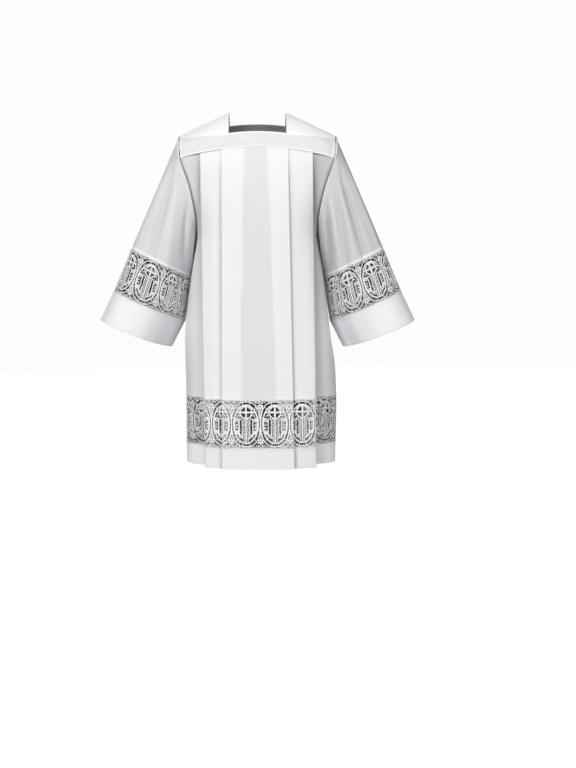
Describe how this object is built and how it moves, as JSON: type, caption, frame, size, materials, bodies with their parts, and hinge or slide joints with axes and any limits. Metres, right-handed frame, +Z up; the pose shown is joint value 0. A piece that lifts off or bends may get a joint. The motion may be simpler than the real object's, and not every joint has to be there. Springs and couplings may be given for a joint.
{
  "type": "surplice",
  "caption": "Square-necked pleated surplice in white cloth, filled out as worn, with a yoke, wide sleeves and lace let in above the hem and cuffs.",
  "frame": {"origin": "where the wearer's shoulders hold it: on the middle line, level with the inner ends of the shoulder straps", "axes": "+Z up; the front faces -Y; +X is towards the wearer's left sleeve"},
  "size_m": [0.829, 0.2932, 0.9211],
  "materials": {
    "linen": "plain weave polyester and cotton, matt with a soft sheen",
    "lace_thread": "white corded lace, matt"
  },
  "bodies": {
    "root": {"yoke_front": "linen", "yoke_back": "linen", "shoulder_strap_left": "linen", "shoulder_strap_right": "linen", "front": "linen", "back": "linen", "hem_front": "linen", "hem_back": "linen", "lace_front": "lace_thread", "lace_back": "lace_thread", "sleeve_left": "linen", "sleeve_right": "linen", "sleeve_lace_left_front": "lace_thread", "sleeve_lace_left_back": "lace_thread", "sleeve_lace_right_front": "lace_thread", "sleeve_lace_right_back": "lace_thread", "cuff_left": "linen", "cuff_right": "linen"}
  },
  "joints": []
}
